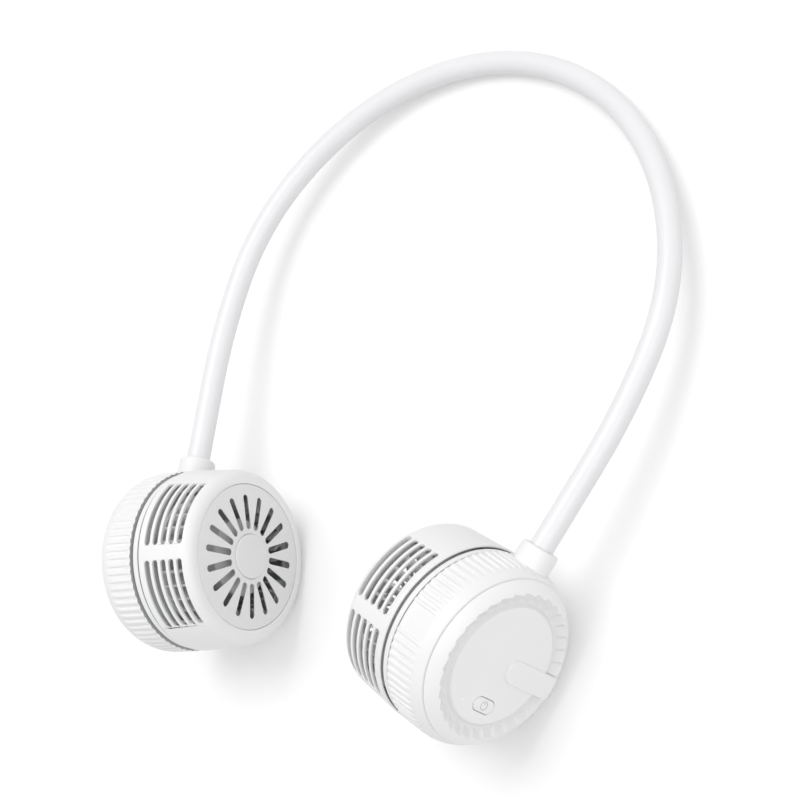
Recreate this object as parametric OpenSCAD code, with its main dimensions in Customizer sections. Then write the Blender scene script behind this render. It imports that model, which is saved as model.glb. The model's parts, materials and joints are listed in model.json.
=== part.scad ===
// Electric neck fan: two round fan heads on a flexible neck loop.
// The loop lies on a table, vents up. X runs from the left head to the right one, Y towards the crown.
// A head is drawn on its own axis: Z along the drum axis towards the other head, X along the neck
// towards the crown, and Y up. The right head is the left one's mirror image.

/* [Neck loop] */
// Outer diameter of the soft neck sleeve
sleeve_d = 8.4; // [8:0.1:9]
// Wall of the soft neck sleeve
sleeve_wall = 1.1; // [0.8:0.1:1.1]
// Outward lean of each neck end
neck_lean = 14.9; // [8:0.1:20]
// Straight neck end, measured from the drum axis
neck_straight = 70; // [55:1:90]
// Bend radius of the neck's sides
side_bend_r = 200; // [150:1:260]
// Bend angle of the neck's sides
side_bend_angle = 11.8; // [8:0.1:16]
// Bend radius of the neck's shoulders
shoulder_bend_r = 81.6; // [70:0.1:100]
// Bend angle of the neck's shoulders
shoulder_bend_angle = 30; // [22:0.5:38]
// Bend radius of the neck's crown
crown_bend_r = 102; // [90:1:120]
// Outer diameter of the flexible steel core
core_d = 6; // [5.4:0.1:6]
// Bore of the flexible steel core
core_bore_d = 3.6; // [3.4:0.1:4]
// Diameter of one lead inside the core
lead_d = 1.3; // [1:0.1:1.4]

/* [Collar] */
// Outer diameter of the collar
collar_d = 12.6; // [11.5:0.1:12.8]
// Height of the collar above the drum
collar_h = 6.4; // [4:0.1:10]
// Rounding of the collar's top edge
collar_round = 0.9; // [0.3:0.1:1.2]

/* [Ribbed housing] */
// Outer diameter of the drum
drum_d = 65; // [64:0.5:68]
// Length from the neck's axis to the channel
channel_start = 7; // [7:0.1:8]
// Width of the channel between the two halves
channel_w = 4; // [3.6:0.1:5]
// Radius of the barrel curve that rounds the housing into the cap
barrel_r = 13.2; // [13:0.1:14]
// Start of the barrel curve, from the neck's axis
barrel_start = 1.5; // [1.2:0.1:1.8]
// Distance from the neck's axis to the cap seam
seam_offset = 8.9; // [8.6:0.1:9.2]
// Wall of the housing at the cap seam
housing_wall = 1.9; // [1.6:0.1:2.1]
// Thickness of the housing's bulkhead
bulkhead_t = 2; // [1.6:0.1:2.4]
// Height of a grip rib
rib_h = 0.6; // [0.4:0.05:0.7]
// Radius of a grip rib's round top
rib_r = 0.9; // [0.75:0.05:1.1]
// Number of grip ribs on a full turn
rib_count = 72; // [60:1:80]
// Number of ribs left out for the smooth patch
patch_ribs = 3; // [1:2:5]
// Middle of the left head's smooth patch, from straight up
left_patch_at = 14; // [10:1:20]
// Middle of the right head's smooth patch, from straight up
right_patch_at = -1; // [-6:1:6]

/* [Swivel] */
// Width of the ring in the channel
ring_w = 1.8; // [1.4:0.1:2.2]
// Depth of the ring below the drum surface
ring_recess = 0.2; // [0.1:0.05:0.6]
// Depth of the two grooves beside the ring
channel_depth = 2.6; // [2:0.1:3]
// Outer diameter of the hollow swivel stub
stub_d = 18; // [17:0.5:19]
// Wall of the hollow swivel stub
stub_wall = 2.4; // [2.2:0.1:2.8]
// Thickness of the swivel's retaining washer
washer_t = 0.8; // [0.6:0.1:0.9]
// Width of the retaining washer's rim outside the stub
washer_rim = 2.2; // [1.6:0.1:2.6]
// Turn of the vents away from straight up, towards the open side of the loop
vent_turn = 13.8; // [5:0.1:25]

/* [Vented drum] */
// Length of the vented drum from channel to front face
vent_len = 23.1; // [22.9:0.1:25]
// Narrowing of the radius for each unit of length
vent_taper_share = 0.06; // [0.04:0.01:0.08]
// Rounding of the front rim
rim_round = 4.5; // [4:0.1:4.8]
// Wall of the vented drum
vent_wall = 1.9; // [1.6:0.1:2.2]
// Width of a vent slot
vent_slot_w = 2.2; // [1.8:0.05:2.4]
// Pitch of the vent slots
vent_pitch = 3.66; // [3.4:0.02:3.7]
// Number of vent slots in a row
vent_count = 5; // [3:1:5]
// Distance from the channel to the middle of the first vent slot
vent_first = 4.15; // [3.8:0.05:4.4]
// Width of the bar between the two vent groups
vent_bar_w = 5.5; // [4:0.1:8]
// Angle that one vent group covers
vent_angle = 48.3; // [40:0.1:52]

/* [Intake grille] */
// Width of the flat front round the grille
rim_flat_w = 0.6; // [0.3:0.1:0.8]
// Width of the seam round the grille
grille_gap = 0.3; // [0.2:0.05:0.4]
// Radius of the grille's domed front
dome_r = 220; // [180:1:260]
// Thickness of the grille plate
grille_t = 1.5; // [1.3:0.1:1.7]
// Number of radial slots
intake_count = 18; // [14:1:20]
// Width of a radial slot
intake_slot_w = 1.7; // [1.3:0.05:1.9]
// Distance from the centre disc to a radial slot
intake_in_w = 1.4; // [1:0.1:2.4]
// Distance from a radial slot to the grille's edge
intake_out_w = 4; // [3:0.1:7]
// Turn of the radial slots from the vents' middle
intake_turn = 4.3; // [0:0.1:10]
// Diameter of the centre disc
centre_d = 15.9; // [14:0.1:16.4]
// Height of the centre disc above the dome's top
centre_proud = 0.2; // [0.1:0.05:0.4]
// Width of the seam round the centre disc
centre_gap = 0.1; // [0.05:0.01:0.15]

/* [End cap] */
// Distance from the drum surface to the cap's crest
crest_inset = 6.5; // [6.1:0.1:6.7]
// Distance from the cap's crest to its middle disc
disc_inset = 4.8; // [4.4:0.1:5.4]
// Height of the cap's middle disc below the crest
disc_drop = 0.75; // [0.5:0.05:1]
// Rounding of the middle disc's edge
disc_round = 0.9; // [0.5:0.05:0.9]
// Depth of the moat below the crest
moat_depth = 2; // [1.9:0.05:2.1]
// Width of the moat's flat floor
moat_floor_w = 1; // [0.6:0.1:1.4]
// Number of flutes round the moat
flute_count = 32; // [24:1:40]
// Depth of a flute
flute_depth = 0.7; // [0.4:0.05:0.8]
// Wall of the cap
cap_wall = 1.4; // [1.2:0.1:1.5]
// Length of the cap's spigot inside the housing
spigot_len = 1.7; // [1.2:0.1:1.8]
// Width of the raised tongue
tongue_w = 8.3; // [6:0.1:9]
// Distance from the cap's centre to the tongue's round end
tongue_start = 2.6; // [2:0.1:4]
// Height of the tongue above the crest
tongue_proud = 0.2; // [0.1:0.05:0.3]

/* [Power button] */
// Width of the power button
button_w = 5.2; // [4.6:0.1:5.6]
// Length of the power button
button_len = 10.6; // [9:0.1:11]
// Distance of the button's middle from the disc's edge, on the side away from the neck
button_inset = 7; // [6.8:0.1:7.2]
// Distance of the button's middle from the cap's centre, downwards
button_down = 2; // [1:0.1:2.5]
// Gap round the button
button_gap = 0.3; // [0.2:0.05:0.4]
// Height of the button above the disc
button_proud = 0.3; // [0.1:0.05:0.5]
// Travel of the button
button_travel = 0.4; // [0.3:0.05:0.4]
// Diameter of the status light
light_d = 1.1; // [0.9:0.1:1.5]

/* [Impeller and motor] */
// Distance from the drum surface to the impeller
impeller_inset = 7; // [6.6:0.1:7.5]
// Number of impeller blades
blade_count = 30; // [24:1:34]
// Thickness of a blade
blade_t = 0.8; // [0.6:0.05:1]
// Radial depth of the ring of blades
blade_ring_w = 6.5; // [5:0.1:7.5]
// Radius of a blade's curve
blade_curve_r = 6; // [5:0.1:8]
// Diameter of the rotor cup
rotor_d = 28; // [27:0.1:29]
// Wall of the rotor cup
rotor_wall = 1.2; // [1:0.1:1.4]
// Thickness of the magnet ring
magnet_t = 1.4; // [1.2:0.1:1.6]
// Diameter of the motor shaft
shaft_d = 2; // [1.8:0.1:2.2]

/* [Battery and board] */
// Distance from the battery's corners to the housing
battery_inset = 2.5; // [2.4:0.1:5]
// Angle between the battery's length and its diagonal
battery_angle = 35.5; // [32:0.5:35.5]
// Thickness of the battery cell
battery_t = 7.4; // [6.8:0.1:7.4]
// Distance from the end cap's spigot to the control board
board_inset = 4.9; // [4.4:0.1:5.9]
// Thickness of the control board
board_t = 1.2; // [1:0.1:1.2]
// Width of the charging socket
socket_w = 8.9; // [8.5:0.1:9]
// Height of the charging socket
socket_h = 3.2; // [3:0.1:3.2]
// Turn of the charging socket from straight up, towards the open side of the loop
socket_turn = 150; // [148:1:154]

/* [Hidden] */
// Smoothness of the round pieces
$fn = 72;
// Overrun of a cut past the face it opens
over = 1;
// Gap that lets one body turn or slide past another
run_gap = 0.3;
// Radial play of a shaft or stub in its bore
bore_play = 0.05;
// Play between two pieces of one body
seat_play = 0.05;
// Rounding that takes the sharpness off an edge
edge_round = 0.3;

drum_r = drum_d / 2;
sleeve_r = sleeve_d / 2;
core_r = core_d / 2;
core_bore_r = core_bore_d / 2;
lead_r = lead_d / 2;
collar_r = collar_d / 2;

// Stations along the drum axis, positive towards the other head
seam_z = -seam_offset;
bulkhead_z = channel_start - bulkhead_t;
back_z = channel_start + channel_w;
front_z = back_z + vent_len;
ring_base_w = 6;
ring_base_end_z = back_z - run_gap;
ring_z = channel_start + (channel_w - ring_w) / 2;
ring_end_z = ring_z + ring_w;
ring_r = drum_r - ring_recess;
channel_r = drum_r - channel_depth;

// Barrel curve of the housing and the cap
barrel_x = drum_r - barrel_r;
crest_r = drum_r - crest_inset;
disc_r = crest_r - disc_inset;
function barrel_z(r) = -barrel_start - sqrt(barrel_r * barrel_r - (r - barrel_x) * (r - barrel_x));
function barrel_radius(z) = barrel_x + sqrt(barrel_r * barrel_r - (z + barrel_start) * (z + barrel_start));
seam_r = barrel_radius(seam_z);
seam_step = 0.35;
seam_w = 0.3;
cavity_r = seam_r - housing_wall;
rib_land = 0.06;
crest_z = barrel_z(crest_r);
crest_flat = 0.5;
crest_in_r = crest_r - crest_flat;
disc_z = crest_z + disc_drop;
moat_z = crest_z + moat_depth;
moat_in_r = disc_r + disc_round / 2;
moat_out_r = moat_in_r + moat_floor_w;
moat_slope = atan2(moat_depth, crest_in_r - moat_out_r);
moat_slope_len = moat_depth / sin(moat_slope);
cap_in_z = moat_z + cap_wall;
cap_pocket_z = disc_z + cap_wall;
cap_pocket_r = disc_r - cap_wall;
spigot_r = cavity_r - seat_play;
spigot_in_r = spigot_r - cap_wall;
spigot_end_z = seam_z + spigot_len;
tongue_z = crest_z - tongue_proud;

// Swivel stub, washer and plate
plate_t = 1.8;
plate_r = drum_r - vent_wall - 3 * seat_play;
plate_top_z = back_z + plate_t;
stub_r = stub_d / 2;
stub_bore_r = stub_r - stub_wall;
stub_end_z = bulkhead_z - run_gap;
washer_r = stub_r + washer_rim;
washer_z = stub_end_z - washer_t;
washer_screw_count = 3;
washer_screw_r = 0.6;
washer_screw_len = 4;
washer_head_r = 1.1;
washer_head_h = 0.6;
washer_screw_at = (stub_r + stub_bore_r) / 2;
lead_hole_r = 1.4;

// Vented drum: its profile narrows from the back edge to the rounded rim
function vent_radius(z) = drum_r - vent_taper_share * (z - back_z);
rim_z = front_z - rim_round;
rim_r = vent_radius(rim_z);
face_r = rim_r - rim_round;
vent_bar_angle = asin(vent_bar_w / drum_d);
vent_end_angle = asin(vent_slot_w / drum_d);

// Grille, ledge and centre disc
rim_bore_r = face_r - rim_flat_w;
grille_r = rim_bore_r - grille_gap;
dome_drop = dome_r - sqrt(dome_r * dome_r - grille_r * grille_r);
dome_z = front_z + dome_drop;
dome_steps = 480;
seat_z = front_z - grille_t;
ledge_w = 1.3;
ledge_t = 1.2;
ledge_z = seat_z - ledge_t;
ledge_r = grille_r - ledge_w;
inner_round = rim_round - vent_wall;
inner_round_z = ledge_z - inner_round;
inner_round_x = vent_radius(inner_round_z) - vent_wall - inner_round;
vent_in_r = ledge_r - over;
centre_r = centre_d / 2;
intake_in_r = centre_r + intake_in_w;
intake_out_r = grille_r - intake_out_w;
centre_t = 1.1;
centre_round = 0.35;
centre_z = dome_z + centre_proud;
centre_seat_z = centre_z - centre_t;

// Impeller, from the drum's ledge back to the plate
impeller_gap = 0.5;
impeller_lift = 2;
impeller_r = drum_r - impeller_inset;
impeller_z = plate_top_z + impeller_lift;
impeller_top_z = ledge_z - impeller_gap;
back_disc_t = 1;
shroud_t = 1;
shroud_w = 3;
blade_in_r = impeller_r - blade_ring_w;
blade_mid_r = impeller_r - blade_ring_w / 2;
blade_inset = 0.1;
rotor_r = rotor_d / 2;
rotor_in_r = rotor_r - rotor_wall;
rotor_top_t = 1.4;
rotor_round = 0.8;
rotor_in_z = impeller_top_z - rotor_top_t;
rotor_skin = 0.4;
magnet_r = rotor_in_r - seat_play;
magnet_in_r = magnet_r - magnet_t;
magnet_z = impeller_z + back_disc_t;
magnet_end_z = rotor_in_z - 2 * run_gap;

// Stator, post, bearings and shaft
shaft_r = shaft_d / 2;
bearing_wall = 1.4;
bearing_len = 3.5;
bearing_r = shaft_r + bore_play + bearing_wall;
post_wall = 1.1;
post_r = bearing_r + seat_play + post_wall;
post_top_z = rotor_in_z - 2 * run_gap;
post_bore_z = plate_top_z + 2 * run_gap;
shaft_z = post_bore_z + run_gap;
lead_hole_at = (post_r + stub_bore_r) / 2;
motor_board_t = 0.8;
motor_board_r = 10.5;
motor_board_z = plate_top_z + seat_play;
stator_r = magnet_in_r - 2 * run_gap;
stator_z = magnet_z + 2 * run_gap;
stator_end_z = magnet_end_z - 2 * run_gap;
stator_hub_t = 1.6;
pole_count = 9;
pole_w = 1.6;
pole_shoe_t = 1;
pole_gap = 1.2;
winding_w = 3.4;
winding_z_share = 0.1;
stator_shoe_in_r = stator_r - pole_shoe_t;
winding_in_r = post_r + stator_hub_t + run_gap;
lamination_z = stator_z + winding_z_share * (stator_end_z - stator_z);
lamination_end_z = stator_end_z - winding_z_share * (stator_end_z - stator_z);

// Scroll wall that turns the air towards the vents
scroll_t = 1.2;
scroll_gap = 1.6;
scroll_r = impeller_r + scroll_gap;
scroll_angle = vent_bar_angle + vent_angle + 2 * vent_end_angle;
scroll_end_z = inner_round_z;

// Collar and anchor plate, along the neck's axis
collar_top = drum_r + collar_h;
anchor_t = 1.9;
anchor_w = 15;
anchor_out = sqrt((cavity_r - 3 * seat_play) ^ 2 - anchor_w * anchor_w / 4);
anchor_in = anchor_out - anchor_t;
anchor_z = spigot_end_z + run_gap;
anchor_end_z = bulkhead_z - run_gap;
sleeve_depth = 2;
core_end = 1;
sleeve_start = drum_r - sleeve_depth;
core_start = anchor_in - core_end;
lead_start = core_start - core_end;

// Battery and board
battery_corner_r = cavity_r - battery_inset;
battery_len = 2 * battery_corner_r * cos(battery_angle);
battery_w = 2 * battery_corner_r * sin(battery_angle);
board_rise = 2.1;
board_z = cap_in_z + board_rise;
board_in_z = board_z + board_t;
board_r = spigot_in_r - board_inset;
battery_gap = 0.4;
battery_z = board_in_z + battery_gap;
battery_end_z = battery_z + battery_t;
battery_round = 2.6;
rail_w = 1.6;
rail_at = washer_r + run_gap;
rail_len = battery_w - 2 * battery_round;
board_post_r = 1.7;
board_post_at = battery_w / 2 + board_post_r + 2 * run_gap;
board_screw_r = 0.7;
board_screw_len = 5;
board_head_r = 1.5;
board_head_h = 0.8;
board_tab_rim = 0.8;
chip_side = 5;
chip_h = 0.9;
coil_side = 4.2;
coil_h = 1.6;
chip_at_share = 0.35;

// Charging socket, along its own radius
socket_len = 7.3;
socket_wall = 0.35;
socket_play = 0.2;
socket_tongue_w = 6.7;
socket_tongue_t = 0.7;
socket_back = 1.2;
socket_end = barrel_radius(board_in_z) - run_gap;
socket_start = socket_end - socket_len;
socket_z = board_in_z + seat_play + socket_h / 2;
board_tab_end = spigot_in_r - run_gap;

// Power button, switch and status light
button_out = disc_r - button_inset;
button_top_z = disc_z - button_proud;
button_round = 0.25;
flange_w = 0.7;
flange_t = 0.7;
flange_z = cap_pocket_z + run_gap / 2;
switch_h = 1.1;
switch_side = 4.6;
switch_knob_h = 0.4;
switch_knob_r = 1;
switch_top_z = board_z - switch_h - switch_knob_h;
plunger_r = 1.5;
plunger_end_z = switch_top_z - button_travel - run_gap / 3;
light_r = light_d / 2;
light_out = button_out + light_r + switch_knob_r / 2;
light_up = 8.2;
light_base_r = 1.2;
light_base_h = 0.9;

// Neck loop: a bend starts with a heading, counted from the X axis, and turns clockwise
function bend_x(r, heading, turn) = r * (sin(heading) - sin(heading - turn));
function bend_y(r, heading, turn) = r * (cos(heading - turn) - cos(heading));
side_heading = 90 + neck_lean;
shoulder_heading = side_heading - side_bend_angle;
crown_heading = shoulder_heading - shoulder_bend_angle;
head_x = bend_x(side_bend_r, side_heading, side_bend_angle)
    + bend_x(shoulder_bend_r, shoulder_heading, shoulder_bend_angle)
    + bend_x(crown_bend_r, crown_heading, crown_heading) - neck_straight * sin(neck_lean);
side_x = -head_x - neck_straight * sin(neck_lean);
side_y = neck_straight * cos(neck_lean);
shoulder_x = side_x + bend_x(side_bend_r, side_heading, side_bend_angle);
shoulder_y = side_y + bend_y(side_bend_r, side_heading, side_bend_angle);
crown_x = shoulder_x + bend_x(shoulder_bend_r, shoulder_heading, shoulder_bend_angle);
crown_y = shoulder_y + bend_y(shoulder_bend_r, shoulder_heading, shoulder_bend_angle);
loop_y = crown_y + bend_y(crown_bend_r, crown_heading, crown_heading);
join_angle = 0.1;
join_step = 0.02;

// On the table the loop stands on its crown and on the back edges of the two vented drums.
// The tilt is worked out once without and once with the slope that it gives the drum axes.
foot_z = back_z + edge_round;
foot_r = vent_radius(foot_z);
foot_reach = loop_y - foot_z * sin(neck_lean);
first_tilt = asin((foot_r - sleeve_r) / foot_reach);
axis_slope = sin(neck_lean) * sin(first_tilt);
loop_tilt = asin((foot_r * sqrt(1 - axis_slope * axis_slope) - sleeve_r) / foot_reach);
loop_lift = loop_y * sin(loop_tilt) + sleeve_r;
axis_y = sin(neck_lean) * cos(loop_tilt);
open_side_y = barrel_start * axis_y + barrel_x * sqrt(1 - axis_y * axis_y) + barrel_r;
crown_side_y = loop_y * cos(loop_tilt) + sleeve_r;
loop_back = (open_side_y - crown_side_y) / 2;

module laid() translate([0, loop_back, loop_lift]) rotate([-loop_tilt, 0, 0]) children();
module left_head() laid() translate([-head_x, 0, 0]) rotate([90, 0, 90 + neck_lean]) children();
module right_head() laid() mirror([1, 0, 0]) translate([-head_x, 0, 0]) rotate([90, 0, 90 + neck_lean])
    children();
// Turns the X axis of a piece to an angle from straight up, positive towards the crown
module turned(angle) rotate([0, 0, 90 - angle]) children();
// Turns the Z axis of a piece to the neck's axis
module along_neck() rotate([0, 90, 0]) children();

module disc(r, z, end_z) translate([0, 0, z]) cylinder(r = r, h = end_z - z);
module tube(r, bore_r, z, end_z) difference() {
    disc(r, z, end_z);
    disc(bore_r, z - over, end_z + over);
}
module block_2d(x, y, end_x, end_y) translate([x, y]) square([end_x - x, end_y - y]);
// Half outline of a disc with one rounded edge, at the end that is drawn last
module round_disc_2d(r, z, end_z, edge) {
    block_2d(0, min(z, end_z), r - edge, max(z, end_z));
    block_2d(0, min(z, end_z + sign(z - end_z) * edge), r, max(z, end_z + sign(z - end_z) * edge));
    translate([r - edge, end_z + sign(z - end_z) * edge]) circle(r = edge);
}
// Slot with round ends along Y
module pill_2d(w, len) {
    translate([-w / 2, w / 2 - len / 2]) square([w, len - w]);
    for (side = [-1, 1])
        translate([0, side * (len - w) / 2]) circle(r = w / 2);
}

// Sweeps a cross-section along one bend, which runs on by a small angle at both ends
module bend(x, y, heading, r, turn, run_on) translate([x + r * sin(heading), y - r * cos(heading), 0])
    rotate([0, 0, heading + 90 - turn - run_on]) rotate_extrude(angle = turn + 2 * run_on)
        translate([r, 0]) children();

// Sweeps the neck from both heads to the crown. The side bends and the crown bend take the first
// cross-section and run on into the pieces between them, which take the second one, a hair thinner,
// so that each end closes with a clean step.
module neck_side(start) {
    translate([-head_x, 0, 0]) rotate([0, 0, neck_lean]) translate([0, start, 0]) rotate([-90, 0, 0])
        linear_extrude(neck_straight - start) children(1);
    bend(side_x, side_y, side_heading, side_bend_r, side_bend_angle, join_angle) children(0);
    bend(shoulder_x, shoulder_y, shoulder_heading, shoulder_bend_r, shoulder_bend_angle, 0) children(1);
}
module neck_path(start) {
    $fn = 48;
    neck_side(start) {
        children(0);
        children(1);
    }
    mirror([1, 0, 0]) neck_side(start) {
        children(0);
        children(1);
    }
    bend(crown_x, crown_y, crown_heading, crown_bend_r, 2 * crown_heading, join_angle) children(0);
}
module pipe_2d(r, bore_r) difference() {
    circle(r = r);
    circle(r = bore_r);
}

module neck_sleeve() color("white") laid() neck_path(sleeve_start) {
    pipe_2d(sleeve_r, sleeve_r - sleeve_wall);
    pipe_2d(sleeve_r - join_step, sleeve_r - sleeve_wall + join_step);
}

module neck_core() color("silver") laid() neck_path(core_start) {
    pipe_2d(core_r, core_bore_r);
    pipe_2d(core_r - join_step, core_bore_r + join_step);
}

module neck_leads() color("firebrick") laid() for (side = [-1, 1])
    neck_path(lead_start) {
        translate([0, side * (lead_r + seat_play)]) circle(r = lead_r);
        translate([0, side * (lead_r + seat_play)]) circle(r = lead_r - join_step);
    }

module collar() color("white") difference() {
    union() {
        along_neck() rotate_extrude() round_disc_2d(collar_r, anchor_in, collar_top, collar_round);
        translate([anchor_in, -anchor_w / 2, anchor_z]) cube([anchor_t, anchor_w, anchor_end_z - anchor_z]);
    }
    along_neck() disc(core_r + seat_play, anchor_in - over, collar_top + over);
    along_neck() disc(sleeve_r + seat_play, sleeve_start - seat_play, collar_top + over);
}

// Half outline of drum and cap, solid to the axis, grown outwards by a margin
module barrel_2d(grow) {
    block_2d(0, -barrel_start, drum_r + grow, channel_start);
    block_2d(0, -barrel_start - barrel_r - grow, barrel_x, -barrel_start);
    intersection() {
        translate([barrel_x, -barrel_start]) circle(r = barrel_r + grow);
        block_2d(barrel_x, -barrel_start - barrel_r - grow, drum_r + grow, -barrel_start);
    }
}

// Cross-section of the grip: round ribs on a plain drum, with some left out
module grip_2d() {
    circle(r = drum_r - rib_h);
    for (k = [(patch_ribs + 1) / 2 : rib_count - (patch_ribs + 1) / 2])
        rotate(k * 360 / rib_count) translate([drum_r - rib_r + rib_land, 0]) circle(r = rib_r);
}

module housing_shell(patch_at) difference() {
    intersection() {
        rotate_extrude() intersection() {
            barrel_2d(0);
            block_2d(0, seam_z, drum_r, channel_start);
        }
        turned(patch_at) translate([0, 0, seam_z - over]) linear_extrude(channel_start - seam_z + 2 * over)
            grip_2d();
    }
    disc(cavity_r, seam_z - over, bulkhead_z);
}

// Two rails that hold the battery off the swivel
module battery_rails() for (side = [-1, 1])
    translate([side * (rail_at + rail_w / 2) - rail_w / 2, -rail_len / 2, battery_end_z + seat_play])
        cube([rail_w, rail_len, bulkhead_z + bulkhead_t / 2 - battery_end_z - seat_play]);

module board_posts() for (side = [-1, 1]) translate([0, side * board_post_at, 0]) difference() {
    disc(board_post_r, board_in_z, bulkhead_z + bulkhead_t / 2);
    disc(board_screw_r + seat_play, board_in_z - over, board_in_z + board_screw_len);
}

module ribbed_housing(patch_at) color("white") difference() {
    union() {
        housing_shell(patch_at);
        battery_rails();
        children();
    }
    disc(stub_r + bore_play, bulkhead_z - over, channel_start + over);
    along_neck() disc(collar_r + seat_play, anchor_in - over, collar_top);
}

// Mouth for the charging plug, through the wall
module socket_mouth() turned(-socket_turn) translate([cavity_r - over, 0, socket_z]) rotate([90, 0, 90])
    linear_extrude(drum_r - cavity_r + 2 * over) rotate(90)
        pill_2d(socket_h + 2 * socket_play, socket_w + 2 * socket_play);

module controls_housing() difference() {
    ribbed_housing(right_patch_at) board_posts();
    socket_mouth();
}

module cap_outline_2d() {
    difference() {
        intersection() {
            barrel_2d(0);
            block_2d(0, crest_z, drum_r, seam_z);
        }
        polygon([[0, crest_z - over], [crest_in_r, crest_z - over], [crest_in_r, crest_z],
            [moat_out_r, moat_z], [0, moat_z]]);
        block_2d(0, cap_in_z, spigot_in_r, seam_z + over);
        block_2d(seam_r - seam_step, seam_z - seam_w, drum_r, seam_z + over);
        block_2d(0, cap_pocket_z, cap_pocket_r, seam_z + over);
    }
    difference() {
        union() {
            round_disc_2d(disc_r, cap_in_z, disc_z, disc_round);
            polygon([[0, moat_z], [moat_in_r, moat_z], [disc_r, disc_z + disc_round],
                [0, disc_z + disc_round]]);
        }
        block_2d(0, cap_pocket_z, cap_pocket_r, cap_in_z + over);
        block_2d(0, cap_in_z, spigot_r, cap_in_z + over);
    }
    block_2d(spigot_in_r, cap_in_z, spigot_r, spigot_end_z);
}

// Slanted cuts that leave a saw-toothed wall round the moat
module flutes() {
    flute_w = 2 * crest_r * tan(180 / flute_count);
    intersection() {
        disc(drum_r, crest_z - over, moat_z);
        union() for (k = [1 : flute_count])
            rotate([0, 0, k * 360 / flute_count]) translate([crest_in_r, 0, crest_z])
                rotate([0, moat_slope - 90, 0]) translate([0, 0, -2 * flute_depth])
                    linear_extrude(2 * flute_depth + moat_slope_len)
                        polygon([[0, flute_w / 2], [flute_depth, -flute_w / 2], [-over, -flute_w / 2],
                            [-over, flute_w / 2]]);
    }
}

// Raised tab from the middle of the cap down to its lower edge
module tongue() intersection() {
    rotate_extrude() intersection() {
        barrel_2d(tongue_proud);
        block_2d(0, tongue_z, drum_r, seam_z - seam_w);
    }
    translate([0, 0, tongue_z]) linear_extrude(moat_depth + cap_wall / 2) union() {
        translate([0, -tongue_start - tongue_w / 2]) circle(r = tongue_w / 2);
        block_2d(-tongue_w / 2, -drum_r, tongue_w / 2, -tongue_start - tongue_w / 2);
    }
    difference() {
        disc(drum_r, tongue_z - over, seam_z);
        disc(cap_pocket_r, cap_pocket_z, seam_z + over);
        disc(spigot_in_r, cap_in_z, seam_z + over);
    }
}

module end_cap() color("whitesmoke") {
    difference() {
        rotate_extrude() cap_outline_2d();
        flutes();
    }
    tongue();
}

module controls_end_cap() color("whitesmoke") difference() {
    end_cap();
    translate([-button_out, -button_down, button_top_z - over])
        linear_extrude(cap_pocket_z - button_top_z + 2 * over)
            pill_2d(button_w + 2 * button_gap, button_len + 2 * button_gap);
    translate([-light_out, light_up, 0]) disc(light_r + seat_play, disc_z - over, cap_pocket_z + over);
}

module swivel_ring() color("white") {
    tube(channel_r, channel_r - ring_base_w, channel_start, ring_base_end_z);
    rotate_extrude() {
        block_2d(channel_r - over, ring_z, ring_r - edge_round, ring_end_z);
        block_2d(channel_r - over, ring_z + edge_round, ring_r, ring_end_z - edge_round);
        for (z = [ring_z + edge_round, ring_end_z - edge_round])
            translate([ring_r - edge_round, z]) circle(r = edge_round);
    }
}

module vent_outline_2d() difference() {
    union() {
        polygon([[0, back_z], [drum_r - edge_round, back_z], [foot_r, foot_z], [rim_r, rim_z], [0, rim_z]]);
        block_2d(0, rim_z, face_r, front_z);
        translate([face_r, rim_z]) circle(r = rim_round);
    }
    polygon([[0, back_z - over], [vent_radius(back_z - over) - vent_wall, back_z - over],
        [inner_round_x + inner_round, inner_round_z], [0, inner_round_z]]);
    block_2d(0, inner_round_z, inner_round_x, ledge_z);
    translate([inner_round_x, inner_round_z]) circle(r = inner_round);
    block_2d(0, ledge_z - over, ledge_r, front_z + over);
    block_2d(0, seat_z, rim_bore_r, front_z + over);
}

// One vent slot beside the bar, with round ends
module vent_slot() {
    rotate([0, 0, vent_bar_angle + vent_end_angle]) rotate_extrude(angle = vent_angle - 2 * vent_end_angle)
        block_2d(vent_in_r, -vent_slot_w / 2, drum_r + over, vent_slot_w / 2);
    for (angle = [vent_bar_angle + vent_end_angle, vent_bar_angle + vent_angle - vent_end_angle])
        rotate([0, 0, angle]) rotate([0, 90, 0]) disc(vent_slot_w / 2, vent_in_r, drum_r + over);
}

module vent_drum() color("white") turned(-vent_turn) difference() {
    rotate_extrude() vent_outline_2d();
    for (k = [0 : vent_count - 1], side = [0, 1])
        translate([0, 0, back_z + vent_first + k * vent_pitch]) mirror([0, side, 0]) vent_slot();
}

module grille_outline_2d() difference() {
    intersection() {
        translate([0, dome_z - dome_r]) circle(r = dome_r, $fn = dome_steps);
        block_2d(0, seat_z, grille_r, dome_z);
    }
    intersection() {
        translate([0, dome_z - dome_r]) circle(r = dome_r - grille_t, $fn = dome_steps);
        block_2d(0, seat_z - over, ledge_r - run_gap, dome_z);
    }
    block_2d(0, centre_seat_z, centre_r + centre_gap, dome_z + over);
}

module intake_grille() color("gainsboro") turned(intake_turn - vent_turn) difference() {
    rotate_extrude() grille_outline_2d();
    for (k = [1 : intake_count])
        rotate([0, 0, k * 360 / intake_count]) translate([(intake_in_r + intake_out_r) / 2, 0, seat_z - over])
            linear_extrude(dome_z - seat_z + 2 * over) rotate(90)
                pill_2d(intake_slot_w, intake_out_r - intake_in_r);
}

module grille_centre() color("gainsboro") rotate_extrude()
    intersection() {
        round_disc_2d(centre_r, centre_seat_z + seat_play, centre_z, centre_round);
        block_2d(0, centre_seat_z, centre_r, centre_z);
    }

module washer_screw_places() for (k = [1 : washer_screw_count])
    rotate([0, 0, k * 360 / washer_screw_count]) translate([washer_screw_at, 0, 0]) children();

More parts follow.
